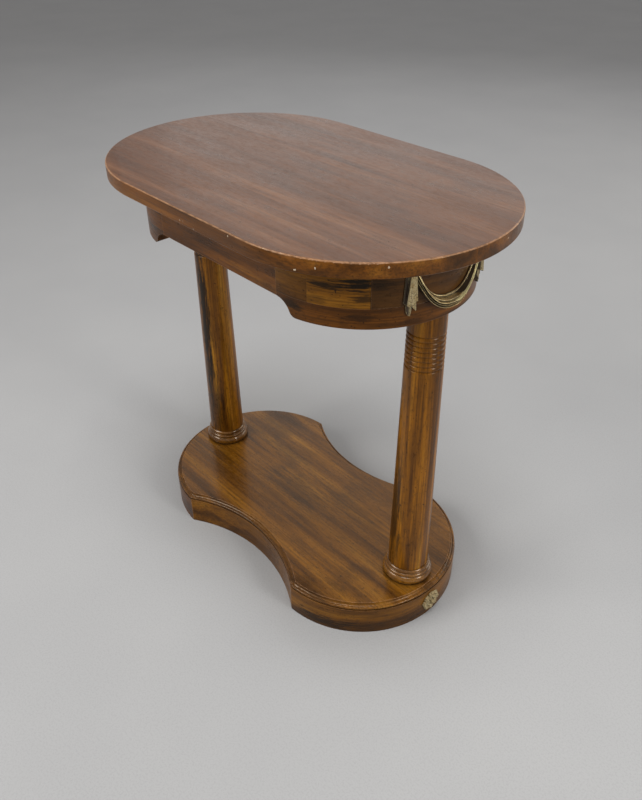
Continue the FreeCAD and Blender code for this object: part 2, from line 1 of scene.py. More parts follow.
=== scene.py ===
"""Looks of the oval side table: old walnut, cast brass swags and rosettes, camera and studio light.
Metres. +X points to the drawer end, +Z is up, and the floor is at z = 0."""

import math

import bmesh
import bpy
from mathutils import Matrix, Vector


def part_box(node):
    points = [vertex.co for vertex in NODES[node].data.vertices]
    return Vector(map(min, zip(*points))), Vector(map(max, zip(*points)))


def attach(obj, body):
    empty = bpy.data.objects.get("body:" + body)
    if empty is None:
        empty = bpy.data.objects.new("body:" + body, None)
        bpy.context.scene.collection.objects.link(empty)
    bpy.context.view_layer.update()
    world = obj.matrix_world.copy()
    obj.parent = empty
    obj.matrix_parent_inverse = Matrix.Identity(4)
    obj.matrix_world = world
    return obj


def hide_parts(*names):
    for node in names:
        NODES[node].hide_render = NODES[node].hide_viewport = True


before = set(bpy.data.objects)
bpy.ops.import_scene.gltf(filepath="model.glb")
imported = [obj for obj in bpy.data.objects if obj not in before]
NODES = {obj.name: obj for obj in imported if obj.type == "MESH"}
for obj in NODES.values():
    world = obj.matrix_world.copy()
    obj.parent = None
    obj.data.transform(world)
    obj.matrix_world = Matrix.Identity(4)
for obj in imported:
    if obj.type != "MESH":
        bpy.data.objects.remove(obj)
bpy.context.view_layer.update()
MM = 0.001

# ---- places that come from the frame ------------------------------------------------------------
RAIL_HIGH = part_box("lower_end_rail_near")[1]
APRON_R = RAIL_HIGH.y
APRON_X = RAIL_HIGH.x - RAIL_HIGH.y               # centre of the curved end of the apron
PLINTH_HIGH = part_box("plinth_end_near")[1]
PLINTH_R = PLINTH_HIGH.y
PLINTH_X = PLINTH_HIGH.x - PLINTH_HIGH.y
COLUMN_X = sum(corner.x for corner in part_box("column_near")) / 2
ROSETTE_LOW, ROSETTE_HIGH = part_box("rosette_near")
JABOT_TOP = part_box("near_jabot_left")[1].z


def linear(red, green, blue):
    """RGBA of a colour given as 8-bit sRGB."""
    shares = [value / 255 for value in (red, green, blue)]
    return tuple(s / 12.92 if s <= 0.04045 else ((s + 0.055) / 1.055) ** 2.4 for s in shares) + (1.0,)


# ---- node graphs --------------------------------------------------------------------------------
EDGE_SAMPLES = 6                                  # rays of the bevel and of the occlusion
UPWARD = (0.45, 0.8)                              # upward share of the normal: side, then face
ARRIS_BEGINS = (0.15, 0.5)                        # the same, at the lower side of an eased arris
ARRIS_ENDS = (0.995, 0.9)                         # and at its upper side
WEAR_AND_HIGHLIGHT_TURN = (0.995, 0.9)                        # eased against true normal: flat, then worn with painted highlight
WEAR_AND_HIGHLIGHT_SKY = (0.55, 0.8)                          # share of open sky: sheltered, then worn with painted highlight


class Graph:
    """A material's node tree, with short calls for what the finishes share."""

    def __init__(self, name):
        self.material = bpy.data.materials.new(name)
        self.material.use_nodes = True
        self.tree = self.material.node_tree
        self.tree.nodes.clear()

    def node(self, kind, inputs=None, **settings):
        made = self.tree.nodes.new("ShaderNode" + kind)
        for key, value in settings.items():
            setattr(made, key, value)
        for key, value in (inputs or {}).items():
            if isinstance(value, bpy.types.NodeSocket):
                self.tree.links.new(value, made.inputs[key])
            else:
                made.inputs[key].default_value = value
        return made

    def math(self, operation, a, b=0.0):
        return self.node("Math", {0: a, 1: b}, operation=operation).outputs[0]

    def vector(self, operation, a, b=(0.0, 0.0, 0.0)):
        return self.node("VectorMath", {0: a, 1: b}, operation=operation).outputs["Vector"]

    def remap(self, value, low, high, to_low=0.0, to_high=1.0):
        inputs = {"Value": value, "From Min": low, "From Max": high, "To Min": to_low, "To Max": to_high}
        return self.node("MapRange", inputs, interpolation_type="SMOOTHSTEP").outputs[0]

    def noise(self, where, stretch, detail=4.0, roughness=0.55, distortion=0.0):
        scaled = self.vector("MULTIPLY", where, stretch)
        inputs = {"Vector": scaled, "Scale": 1.0, "Detail": detail, "Roughness": roughness,
                  "Distortion": distortion}
        return self.node("TexNoise", inputs).outputs["Fac"]

    def dots(self, where, scale, share, size):
        """Ragged spots in a share of the cells of a Voronoi pattern."""
        ragged_scale, ragged_shift, soft_rim = 2.6, 0.7, 0.55
        scaled = self.vector("MULTIPLY", where, (scale,) * 3)
        noise = self.node("TexNoise", {"Vector": scaled, "Scale": ragged_scale, "Detail": 2.0})
        shift = self.vector("MULTIPLY", noise.outputs["Color"], (ragged_shift,) * 3)
        scaled = self.vector("ADD", scaled, shift)
        cells = self.node("TexVoronoi", {"Vector": scaled, "Scale": 1.0})
        spot = self.remap(cells.outputs["Distance"], size, size * soft_rim)
        chance = self.node("SeparateColor", {0: cells.outputs["Color"]}).outputs[0]
        return self.math("MULTIPLY", spot, self.math("LESS_THAN", chance, share))

    def ramp(self, factor, stops):
        made = self.node("ValToRGB", {"Fac": factor})
        elements = made.color_ramp.elements
        while len(elements) < len(stops):
            elements.new(0.5)
        for element, (position, colour) in zip(elements, stops):
            element.position = position
            element.color = colour
        return made.outputs["Color"]

    def mix(self, factor, a, b):
        return self.node("Mix", {0: factor, 6: a, 7: b}, data_type="RGBA").outputs[2]

    def facing_up(self):
        normal = self.node("NewGeometry").outputs["Normal"]
        return self.remap(self.node("SeparateXYZ", {0: normal}).outputs["Z"], *UPWARD)

    def eased_arris(self):
        """The rounded upper edge of a board, found by how far its surface leans."""
        normal = self.node("NewGeometry").outputs["Normal"]
        lean = self.node("SeparateXYZ", {0: normal}).outputs["Z"]
        return self.math("MULTIPLY", self.remap(lean, *ARRIS_BEGINS), self.remap(lean, *ARRIS_ENDS))

    def edges(self, radius, reach, deep=0.2, shallow=0.75):
        """How far a point is on an edge, where wear and painted highlight lighten it, how deep in a
        corner, where wood and steel take painted shade and brass its patina, and the eased normal.
        """
        eased = self.node("Bevel", {"Radius": radius}, samples=EDGE_SAMPLES).outputs["Normal"]
        flat = self.node("NewGeometry").outputs["Normal"]
        turn = self.node("VectorMath", {0: eased, 1: flat}, operation="DOT_PRODUCT").outputs["Value"]
        occlusion = self.node("AmbientOcclusion", {"Distance": reach}, samples=EDGE_SAMPLES)
        sky = occlusion.outputs["AO"]
        wear_and_highlight = self.math("MULTIPLY", self.remap(turn, *WEAR_AND_HIGHLIGHT_TURN), self.remap(sky, *WEAR_AND_HIGHLIGHT_SKY))
        return wear_and_highlight, self.remap(sky, shallow, deep), eased

    def finish(self, bumps, eased, **surface):
        """The surface shader. Bumps are (height, depth in metres), coarse first."""
        normal = eased
        for height, depth in bumps:
            inputs = {"Height": height, "Distance": depth, "Strength": 1.0}
            if normal is not None:
                inputs["Normal"] = normal
            normal = self.node("Bump", inputs).outputs["Normal"]
        inputs = {key.replace("_", " "): value for key, value in surface.items()}
        shader = self.node("BsdfPrincipled", {**inputs, "Normal": normal})
        self.node("OutputMaterial", {"Surface": shader.outputs[0]})
        return self.material


# ---- wood ---------------------------------------------------------------------------------------
ALONG_X = "x"
ALONG_Y = "y"
ALONG_Z = "z"
ROUND_NEAR = "near"
ROUND_FAR = "far"
QUARTER = math.pi / 2
TURNS = {ALONG_X: (0.0, 0.0, 0.0), ALONG_Y: (0.0, 0.0, -QUARTER), ALONG_Z: (0.0, QUARTER, 0.0)}

HONEY = dict(deep=(50, 26, 5), brown=(106, 64, 12), warm=(146, 92, 16), pale=(182, 128, 34))
AMBER = dict(deep=(44, 24, 6), brown=(92, 56, 12), warm=(124, 79, 16), pale=(152, 104, 30))
UMBER = dict(deep=(30, 17, 8), brown=(60, 36, 14), warm=(82, 51, 18), pale=(104, 70, 28))
RUSSET = dict(deep=(38, 20, 6), brown=(80, 45, 10), warm=(110, 64, 14), pale=(138, 88, 26))
# Upward faces of the top: walnut tones greyed by a painted sheen of the sky
TOP_WOOD_AND_SHEEN = dict(deep=(60, 38, 28), brown=(84, 55, 40), warm=(96, 63, 44), pale=(112, 78, 56))
RAW = dict(deep=(112, 84, 54), brown=(146, 114, 76), warm=(166, 133, 92), pale=(184, 152, 110))
SOOT = linear(14, 9, 6)
# Dark of the grime in mottle and pores, and of the painted shade in corners
GRIME_AND_SHADE = linear(26, 16, 9)
CHIP = linear(214, 196, 172)
# Pale of worn edges, which also stands in for a painted highlight on the arrises
WORN_AND_HIGHLIGHT = linear(170, 130, 98)
VARNISH = linear(255, 222, 184)

SEED_SHIFT = (0.731, 1.913, 2.377)                # moves the pattern, in metres per unit of seed
TONE_STOPS = (0.28, 0.42, 0.56, 0.74)             # where the four tones sit on the figure
FINE_DARK = 0.55
BLOTCH_DARK = 0.5
# Waves per metre along the grain and the two ways across it
FIGURE_ALONG = 2.4
FINE = (9.0, 420.0, 420.0)
FIBRE = (70.0, 1900.0, 1900.0)
BLOTCH = (9.0, 22.0, 22.0)
MOTTLE = (90.0, 220.0, 220.0)
SMUDGE_RIM = (26.0, 300.0, 300.0)
NICKS = (160.0, 160.0, 160.0)
WAVES = (8.0, 24.0, 24.0)
SMUDGE_RAGGED = 4.5                               # how far the rim noise moves the rim
SMUDGE_RIM_SOFT = (1.15, 0.45)
# How strongly each mark covers the wood; the corner's share is painted shade
MOTTLE_DARK = 0.34
PORE_DARK = 0.38
SPECK_DARK = 0.85
CORNER_SHADE = 0.8
NICK_PALE = 0.8
# Cells per metre, share of the cells with a spot, and the spot's size
FLYSPECKS = (150.0, 0.10, 0.20)
FINE_SPECKS = (330.0, 0.07, 0.3)
CHIPS = (150.0, 0.13, 0.19)
WAVE_DEPTH = 0.25 * MM
PORE_DEPTH = 0.04 * MM
COAT_ROUGHNESS = 0.14


def grain_coordinates(g, grain):
    """Object coordinates turned so that X runs along the grain. Round a curved end, X is the arc
    length from the middle of the end, Y is the radius and Z is the height."""
    where = g.node("TexCoord").outputs["Object"]
    if grain not in (ROUND_NEAR, ROUND_FAR):
        return g.node("Mapping", {"Vector": where, "Rotation": TURNS[grain]}).outputs["Vector"]
    end = 1.0 if grain == ROUND_NEAR else -1.0
    axes = g.node("SeparateXYZ", {0: where})
    out = g.math("SUBTRACT", g.math("MULTIPLY", axes.outputs["X"], end), APRON_X)
    across = g.math("MULTIPLY", axes.outputs["Y"], end)
    arc = g.math("MULTIPLY", g.math("ARCTAN2", across, out), APRON_R)
    squares = g.math("ADD", g.math("MULTIPLY", out, out), g.math("MULTIPLY", across, across))
    radius = g.math("SQRT", squares)
    return g.node("CombineXYZ", {"X": arc, "Y": radius, "Z": axes.outputs["Z"]}).outputs["Vector"]


def seeded(g, where, seed):
    """Coordinates moved to another part of the patterns."""
    return g.vector("ADD", where, tuple(seed * shift for shift in SEED_SHIFT))


def smudge(g, where, centre, size, ragged):
    """Soft patch of dark stain: an ellipsoid with a ragged rim, in grain coordinates."""
    offset = g.vector("SUBTRACT", where, centre)
    shares = g.vector("DIVIDE", offset, size)
    distance = g.node("VectorMath", {0: shares}, operation="LENGTH").outputs["Value"]
    moved = g.math("MULTIPLY", g.math("SUBTRACT", ragged, 0.5), SMUDGE_RAGGED)
    return g.remap(g.math("ADD", distance, moved), *SMUDGE_RIM_SOFT)


def wood_colour(g, palette, figure, fine, blotch):
    """Growth figure in four tones, with fine lines and slow stain variation over it."""
    tones = [linear(*palette[key]) for key in ("deep", "brown", "warm", "pale")]
    colour = g.ramp(figure, list(zip(TONE_STOPS, tones)))
    colour = g.mix(g.remap(fine, 0.62, 0.3, 0.0, FINE_DARK), colour, tones[0])
    return g.mix(g.remap(blotch, 0.5, 0.3, 0.0, BLOTCH_DARK), colour, tones[0])


def walnut(name, palette, grain, seed, smudges=(), shine=0.34, face=None, chipped=False, aged=1.0,
           bands=36.0, wear_and_highlight_strength=0.8, gloss=0.2, coat=0.1):
    """Stained and waxed walnut. Smudges are (centre, half size, strength) in grain coordinates.
    Face is the palette of what looks upward, where that differs from the sides. Bands is how many
    bands of figure cross a metre. Gloss is the specular level of the sides."""
    g = Graph(name)
    plain = grain_coordinates(g, grain)
    where = seeded(g, plain, seed)
    figure = g.noise(where, (FIGURE_ALONG, bands, bands), detail=5.0, distortion=0.35)
    fine = g.noise(where, FINE, detail=3.0, roughness=0.6)
    fibre = g.noise(where, FIBRE, detail=1.0)
    blotch = g.noise(where, BLOTCH, detail=4.0)
    mottle = g.noise(where, MOTTLE, detail=4.0, roughness=0.7)
    pores = g.remap(fibre, 0.60, 0.70)

    colour = wood_colour(g, palette, figure, fine, blotch)
    # Upward faces take the face palette; on the top it paints the sky's sheen
    if face:
        upward = g.facing_up()
        colour = g.mix(upward, colour, wood_colour(g, face, figure, fine, blotch))
    colour = g.mix(g.remap(mottle, 0.52, 0.28, 0.0, MOTTLE_DARK * aged), colour, GRIME_AND_SHADE)
    colour = g.mix(g.math("MULTIPLY", pores, PORE_DARK), colour, GRIME_AND_SHADE)
    for centre, size, strength in smudges:
        ragged = g.noise(where, SMUDGE_RIM, detail=5.0, roughness=0.72)
        mask = smudge(g, plain, centre, size, ragged)
        colour = g.mix(g.math("MULTIPLY", mask, strength), colour, SOOT)
    coarse, small = [g.dots(where, cells, share * aged, size)
                     for cells, share, size in (FLYSPECKS, FINE_SPECKS)]
    specks = g.math("MAXIMUM", coarse, small)
    colour = g.mix(g.math("MULTIPLY", specks, SPECK_DARK), colour, SOOT)

    wear_and_highlight, corner, eased = g.edges(0.9 * MM, 9 * MM)
    if chipped:
        wear_and_highlight, eased = g.eased_arris(), None
    # Lighter edges: real wear, and a painted highlight along the arrises
    worn_and_highlit_share = g.math("MULTIPLY", wear_and_highlight, g.remap(mottle, 0.35, 0.6, 0.35 * wear_and_highlight_strength, wear_and_highlight_strength))
    colour = g.mix(worn_and_highlit_share, colour, WORN_AND_HIGHLIGHT)
    # Painted shade: deep in corners, found by occlusion, the wood is darkened
    colour = g.mix(g.math("MULTIPLY", corner, CORNER_SHADE), colour, GRIME_AND_SHADE)
    nicks = g.math("MULTIPLY", g.math("MULTIPLY", wear_and_highlight, wear_and_highlight_strength),
                   g.remap(g.noise(where, NICKS), 0.64, 0.70))
    if chipped:
        side = g.math("SUBTRACT", 1.0, g.facing_up())
        nicks = g.math("MAXIMUM", nicks, g.math("MULTIPLY", g.dots(where, *CHIPS), side))
    colour = g.mix(g.math("MULTIPLY", nicks, NICK_PALE), colour, CHIP)

    dull = g.math("ADD", g.remap(mottle, 0.3, 0.7, -0.06, 0.07),
                  g.remap(blotch, 0.35, 0.65, -0.03, 0.05))
    roughness = g.math("ADD", g.math("ADD", dull, shine), g.math("MULTIPLY", corner, 0.25))
    height = g.math("SUBTRACT", g.math("MULTIPLY", fine, 0.5), g.math("ADD", pores, nicks))
    waves = g.noise(where, WAVES, detail=2.0)
    return g.finish([(waves, WAVE_DEPTH), (height, PORE_DEPTH)], eased, Base_Color=colour,
                    Roughness=roughness, Specular_IOR_Level=gloss, Specular_Tint=VARNISH,
                    Coat_Weight=coat, Coat_Roughness=COAT_ROUGHNESS)


def raw_wood(name, grain, seed):
    """Unfinished secondary wood inside, dusty, with painted shade darkening its corners."""
    g = Graph(name)
    where = seeded(g, grain_coordinates(g, grain), seed)
    figure = g.noise(where, (2.0, 45.0, 45.0), detail=4.0, distortion=0.3)
    fine = g.noise(where, (8.0, 520.0, 520.0), detail=3.0)
    blotch = g.noise(where, (7.0, 16.0, 16.0), detail=4.0)
    colour = wood_colour(g, RAW, figure, fine, blotch)
    wear_and_highlight, corner, eased = g.edges(0.6 * MM, 8 * MM)
    # Painted shade: darker deep in corners, found by occlusion
    colour = g.mix(g.math("MULTIPLY", corner, 0.55), colour, linear(*RAW["deep"]))
    colour = g.mix(g.math("MULTIPLY", wear_and_highlight, 0.4), colour, linear(*RAW["pale"]))
    return g.finish([(fine, 0.12 * MM)], eased, Base_Color=colour,
                    Roughness=g.remap(fine, 0.3, 0.7, 0.62, 0.8))


# ---- metal --------------------------------------------------------------------------------------
BRASS_TONES = ((0.30, linear(176, 146, 100)), (0.45, linear(232, 206, 150)),
               (0.58, linear(250, 232, 182)), (0.75, linear(214, 188, 144)))
PATINA_AND_SHADE = linear(36, 23, 13)
BRASS_PIT = linear(74, 50, 28)
BRASS_WEAR_AND_HIGHLIGHT = linear(252, 234, 176)
BRASS_PAINTED_GLEAM = linear(255, 244, 184)
STIPPLE_DEPTH = 0.22 * MM


def brass(name, seed, stipple=0.5, tarnish_and_shade=0.0, painted_gleam=0.0):
    """Cast brass with dark patina in the hollows and rubbed high places, whose lightening also paints
    highlight. The tarnish_and_shade share is the least darkening anywhere, and for the shade brass and
    the darker tail copy it paints shade;
    painted_gleam lightens the metal and clears its patina, a painted highlight."""
    g = Graph(name)
    where = g.vector("ADD", g.node("TexCoord").outputs["Object"], (seed, seed * 1.7, seed * 2.9))
    wear_and_highlight, corner, eased = g.edges(0.5 * MM, 4 * MM, deep=0.3, shallow=0.85)
    cloud = g.noise(where, (140.0, 140.0, 140.0), detail=4.0, roughness=0.6)
    grit = g.noise(where, (900.0, 900.0, 900.0), detail=2.0)
    scratch = g.noise(where, (300.0, 300.0, 2400.0), detail=2.0)
    colour = g.ramp(cloud, BRASS_TONES)
    darkening = g.math("MAXIMUM", g.math("MULTIPLY", corner, 0.95 - 0.6 * painted_gleam),
                    g.remap(cloud, 0.40, 0.26, 0.0, 0.4 - 0.3 * painted_gleam))
    darkening = g.math("MAXIMUM", darkening, tarnish_and_shade)
    # Painted highlight: the metal lightened and its patina cleared
    colour = g.mix(0.85 * painted_gleam, colour, BRASS_PAINTED_GLEAM)
    colour = g.mix(darkening, colour, PATINA_AND_SHADE)
    colour = g.mix(g.math("MULTIPLY", g.remap(grit, 0.5, 0.36), 0.8 * stipple), colour, BRASS_PIT)
    # Lighter edges: wear, and a painted highlight on the high places
    colour = g.mix(g.math("MULTIPLY", wear_and_highlight, 0.7), colour, BRASS_WEAR_AND_HIGHLIGHT)
    sheen = g.remap(cloud, 0.3, 0.7, 0.26 - 0.06 * painted_gleam, 0.42 - 0.14 * painted_gleam)
    roughness = g.math("ADD", sheen, g.math("MULTIPLY", darkening, 0.3))
    metal = g.remap(darkening, 0.2, 0.8, 0.95 - 0.55 * painted_gleam, 0.2)
    return g.finish([(grit, STIPPLE_DEPTH * stipple), (scratch, 0.03 * MM)], eased,
                    Base_Color=colour, Roughness=roughness, Metallic=metal)


def steel(name):
    """Dull plated steel of the hidden fixings, with rust freckles."""
    g = Graph(name)
    where = g.node("TexCoord").outputs["Object"]
    cloud = g.noise(where, (260.0, 260.0, 260.0), detail=3.0)
    rust = g.remap(g.noise(where, (520.0, 520.0, 520.0), detail=3.0), 0.56, 0.66)
    colour = g.mix(cloud, linear(128, 128, 124), linear(178, 176, 168))
    colour = g.mix(g.math("MULTIPLY", rust, 0.7), colour, linear(98, 56, 30))
    _, corner, eased = g.edges(0.3 * MM, 4 * MM)
    # Painted shade: darker deep in corners, found by occlusion
    colour = g.mix(g.math("MULTIPLY", corner, 0.6), colour, linear(60, 52, 44))
    return g.finish([(cloud, 0.05 * MM)], eased, Base_Color=colour,
                    Roughness=g.remap(cloud, 0.3, 0.7, 0.3, 0.5), Metallic=0.9)


# ---- which finish each node of the frame takes --------------------------------------------------
def arc(degrees):
    """Arc length on the face of the apron, from the middle of an end."""
    return math.radians(degrees) * APRON_R


THROUGH = 30 * MM                                 # half size of a smudge through a board
THROUGH_PLINTH = 60 * MM


def finishes():
    """Material of every node that is carried over, by name."""
    streak = [((arc(-48.5), APRON_R, 561 * MM), (27 * MM, THROUGH, 9 * MM), 1.0),
              ((arc(-60), APRON_R, 558 * MM), (28 * MM, THROUGH, 5 * MM), 0.9),
              ((arc(-45.5), APRON_R, 546 * MM), (13 * MM, THROUGH, 5 * MM), 0.8),
              ((arc(-66), APRON_R, 541 * MM), (14 * MM, THROUGH, 6 * MM), 0.35),
              ((arc(-53), APRON_R, 537 * MM), (18 * MM, THROUGH, 4 * MM), 0.3)]
    made = {}
    for i in range(1, 6):
        made["top_board_%d" % i] = walnut("walnut_top_%d" % i, RUSSET, ALONG_X, 3.1 + i, face=TOP_WOOD_AND_SHEEN,
                                          shine=0.34, chipped=True, aged=0.7, wear_and_highlight_strength=0.6, gloss=0.38)
    made["side_rail_left"] = walnut("walnut_rail_left", RUSSET, ALONG_X, 11.0)
    made["side_rail_right"] = walnut("walnut_rail_right", RUSSET, ALONG_X, 12.4)
    made["lower_end_rail_near"] = walnut(
        "walnut_lower_near", RUSSET, ROUND_NEAR, 13.3, aged=1.5, wear_and_highlight_strength=0.3,
        smudges=[((arc(-46), APRON_R, 522 * MM), (16 * MM, THROUGH, 7 * MM), 0.5),
                 ((arc(-80), APRON_R, 525 * MM), (13 * MM, THROUGH, 7 * MM), 0.75),
                 ((arc(-22), APRON_R, 514 * MM), (14 * MM, THROUGH, 5 * MM), 0.4)])
    made["lower_end_rail_far"] = walnut("walnut_lower_far", RUSSET, ROUND_FAR, 14.8, aged=1.3)
    for i, palette, seed, smudges in ((1, AMBER, 15.2, ()), (2, AMBER, 16.9, streak),
                                      (3, RUSSET, 17.5, ()), (4, AMBER, 18.1, ())):
        made["frieze_block_near_%d" % i] = walnut("walnut_frieze_near_%d" % i, palette, ROUND_NEAR, seed,
                                                  smudges=smudges, wear_and_highlight_strength=0.0)
    made["drawer_front"] = walnut(
        "walnut_drawer_front", UMBER, ROUND_NEAR, 19.7,
        smudges=[((arc(-37), APRON_R, 562 * MM), (14 * MM, THROUGH, 8 * MM), 0.6)])
    for i in range(1, 4):
        made["frieze_block_far_%d" % i] = walnut("walnut_frieze_far_%d" % i, RUSSET, ROUND_FAR,
                                                 20.0 + 1.3 * i, wear_and_highlight_strength=0.0)
    made["column_near"] = walnut(
        "walnut_column_near", HONEY, ALONG_Z, 27.7, aged=1.2, bands=75.0, coat=0.2,
        smudges=[((0.17, -28 * MM, -(COLUMN_X - 11 * MM)), (120 * MM, 24 * MM, 15 * MM), 0.75)])
    made["column_far"] = walnut(
        "walnut_column_far", HONEY, ALONG_Z, 29.3, aged=1.2, bands=75.0, coat=0.2,
        smudges=[((0.33, -25 * MM, COLUMN_X - 4 * MM), (190 * MM, 22 * MM, 9 * MM), 0.95),
                 ((0.15, -24 * MM, COLUMN_X - 8 * MM), (120 * MM, 24 * MM, 16 * MM), 0.6)])
    for end, seed in (("near", 31.1), ("far", 32.6)):
        made["column_foot_" + end] = walnut("walnut_foot_" + end, AMBER, ALONG_X, seed,
                                            shine=0.2, coat=0.7, gloss=0.5)
    made["base_board"] = walnut(
        "walnut_base_board", AMBER, ALONG_X, 33.9,
        shine=0.28, aged=1.1, gloss=0.4, coat=0.2, wear_and_highlight_strength=1.0,
        smudges=[((-20 * MM, -10 * MM, 56 * MM), (70 * MM, 26 * MM, 30 * MM), 0.4),
                 ((70 * MM, THROUGH, 56 * MM), (80 * MM, 16 * MM, 30 * MM), 0.3),
                 ((-110 * MM, 50 * MM, 56 * MM), (60 * MM, 22 * MM, 30 * MM), 0.35)])
    made["plinth_side_left"] = walnut("walnut_plinth_left", AMBER, ALONG_X, 35.0)
    made["plinth_side_right"] = walnut("walnut_plinth_right", AMBER, ALONG_X, 36.2)
    made["plinth_end_near"] = walnut(
        "walnut_plinth_near", AMBER, ROUND_NEAR, 37.4, aged=1.2,
        smudges=[((arc(-62), PLINTH_R, 13 * MM), (46 * MM, THROUGH_PLINTH, 9 * MM), 0.8),
                 ((arc(-10), PLINTH_R, 10 * MM), (34 * MM, THROUGH_PLINTH, 6 * MM), 0.5)])
    made["plinth_end_far"] = walnut("walnut_plinth_far", RUSSET, ROUND_FAR, 38.8, aged=1.2)

    inner_x = raw_wood("raw_along_x", ALONG_X, 41.0)
    inner_y = raw_wood("raw_along_y", ALONG_Y, 43.0)
    across = ("drawer_back", "drawer_stop_rail", "drawer_stop_tab", "column_bearer_far",
              "column_bearer_near", "column_block_far", "column_block_near")
    fixings = steel("plated_steel")
    for name in NODES:
        if name in made:
            continue
        if "screws" in name or "bolts" in name or "washers" in name:
            made[name] = fixings
        else:
            made[name] = inner_y if name in across else inner_x
    return made


WELD = 0.01 * MM                                  # joins the split vertices of the carried-over mesh
CORNER = math.radians(32)                         # a sharper edge stays sharp


def smooth_group():
    """Geometry nodes that join split vertices and smooth every edge below a corner's angle."""
    group = bpy.data.node_groups.new("smooth_below_corner", "GeometryNodeTree")
    group.interface.new_socket("Geometry", in_out="INPUT", socket_type="NodeSocketGeometry")
    group.interface.new_socket("Geometry", in_out="OUTPUT", socket_type="NodeSocketGeometry")
    start = group.nodes.new("NodeGroupInput")
    merge = group.nodes.new("GeometryNodeMergeByDistance")
    merge.inputs["Distance"].default_value = WELD
    faces = group.nodes.new("GeometryNodeSetShadeSmooth")
    angle = group.nodes.new("GeometryNodeInputMeshEdgeAngle")
    sharp = group.nodes.new("FunctionNodeCompare")
    sharp.operation = "GREATER_THAN"
    sharp.inputs[1].default_value = CORNER
    edges = group.nodes.new("GeometryNodeSetShadeSmooth")
    edges.domain = "EDGE"
    edges.inputs["Shade Smooth"].default_value = False
    end = group.nodes.new("NodeGroupOutput")
    group.links.new(start.outputs[0], merge.inputs["Geometry"])
    group.links.new(merge.outputs[0], faces.inputs[0])
    group.links.new(angle.outputs[0], sharp.inputs[0])
    group.links.new(faces.outputs[0], edges.inputs[0])
    group.links.new(sharp.outputs[0], edges.inputs["Selection"])
    group.links.new(edges.outputs[0], end.inputs[0])
    return group


def dress_nodes():
    """Gives every carried-over node its material and its smoothing."""
    group = smooth_group()
    for name, material in finishes().items():
        node = NODES[name]
        node.data.materials.clear()
        node.data.materials.append(material)
        node.modifiers.new("smooth", "NODES").node_group = group


# ---- cast brass ---------------------------------------------------------------------------------
CLEAR = 0.5 * MM                                  # behind the castings, for the rail they slide past
LEAST_THICKNESS = 0.2 * MM
WALL_ANGLE = math.radians(50)                     # a sharper edge of a casting stays sharp


def on_apron(end, across, height, out):
    """Point off the curved face of the apron, from the arc length across it."""
    angle = across / APRON_R
    radius = APRON_R + out
    return (end * (APRON_X + radius * math.cos(angle)), end * radius * math.sin(angle), height)


def on_plinth(end, across, height, out):
    """The same off the curved face of the plinth."""
    angle = across / PLINTH_R
    radius = PLINTH_R + out
    return (end * (PLINTH_X + radius * math.cos(angle)), end * radius * math.sin(angle), height)


def ridge(v, centre, width, height):
    """Rounded fold across a sheet."""
    return height * math.exp(-(((v - centre) / width) ** 2))


def relief(name, end, place, columns, rows, surface, back):
    """Closed casting from a grid. Surface gives (across, height, out) for shares a and b in 0..1,
    and the same outline at the back lies flat at the distance back from the wood."""
    vertices = []
    for layer in (0, 1):
        for j in range(rows + 1):
            for i in range(columns + 1):
                across, height, out = surface(i / columns, j / rows)
                off_wood = back if layer else max(out, back + LEAST_THICKNESS)
                vertices.append(place(end, across, height, off_wood))
    width = columns + 1
    count = width * (rows + 1)
    corners = [j * width + i for j in range(rows) for i in range(columns)]
    faces = [(a, a + width, a + width + 1, a + 1) for a in corners]
    faces += [(count + a, count + a + 1, count + a + width + 1, count + a + width) for a in corners]
    rim = [(i, i + 1) for i in range(columns)]
    rim += [(j * width + columns, (j + 1) * width + columns) for j in range(rows)]
    rim += [(rows * width + i + 1, rows * width + i) for i in reversed(range(columns))]
    rim += [((j + 1) * width, j * width) for j in reversed(range(rows))]
    walls = len(faces)
    faces += [(a, b, count + b, count + a) for a, b in rim]
    made = add_mesh(name, vertices, faces)
    # The walls take the casting's second material, which paints shade on its sides
    for face in made.data.polygons:
        face.material_index = int(face.index >= walls)
    return made


def add_mesh(name, vertices, faces):
    """Smooth shaded object from the faces of a closed shell."""
    mesh = bpy.data.meshes.new(name)
    mesh.from_pydata(vertices, [], faces)
    mesh.validate()
    for face in mesh.polygons:
        face.use_smooth = True
    made = bpy.data.objects.new(name, mesh)
    bpy.context.scene.collection.objects.link(made)
    closed_outward(mesh)
    return made


def closed_outward(mesh):
    """Turns the faces outward and marks the walls' edges as sharp."""
    shape = bmesh.new()
    shape.from_mesh(mesh)
    bmesh.ops.recalc_face_normals(shape, faces=shape.faces)
    for edge in shape.edges:
        if len(edge.link_faces) == 2 and edge.calc_face_angle() > WALL_ANGLE:
            edge.smooth = False
    shape.to_mesh(mesh)
    shape.free()


FESTOON_HALF = 57 * MM
# Lowest point, then the rise at the end and the power of the curve, at the left and at the right
FESTOON_TOP = (536.8 * MM, (53 * MM, 3.35), (52 * MM, 1.9))
FESTOON_HEM = (522.6 * MM, (46 * MM, 2.76), (60 * MM, 1.72))
HEM_PITCH = 3.6 * MM
HEM_LENGTH = 2.6                                  # in half spans
HEM_BEAD = (0.93, 0.05, 1.5)                      # centre across the sheet, width, height in mm
FESTOON_GRID = (360, 120)
# Centre across the sheet at the left, middle and right, then width and height
FESTOON_FOLDS = ((0.07, 0.06, 0.04, 0.05, 2.0), (0.25, 0.28, 0.46, 0.06, 3.8),
                 (0.45, 0.50, 0.64, 0.09, 5.4), (0.70, 0.73, 0.83, 0.05, 3.6),
                 (0.93, 0.93, 0.95, 0.05, 2.6))
FOLD_SWAY = 0.012                                 # share of the sheet
FOLD_SWAY_TURN = 9                                # radians in a half span
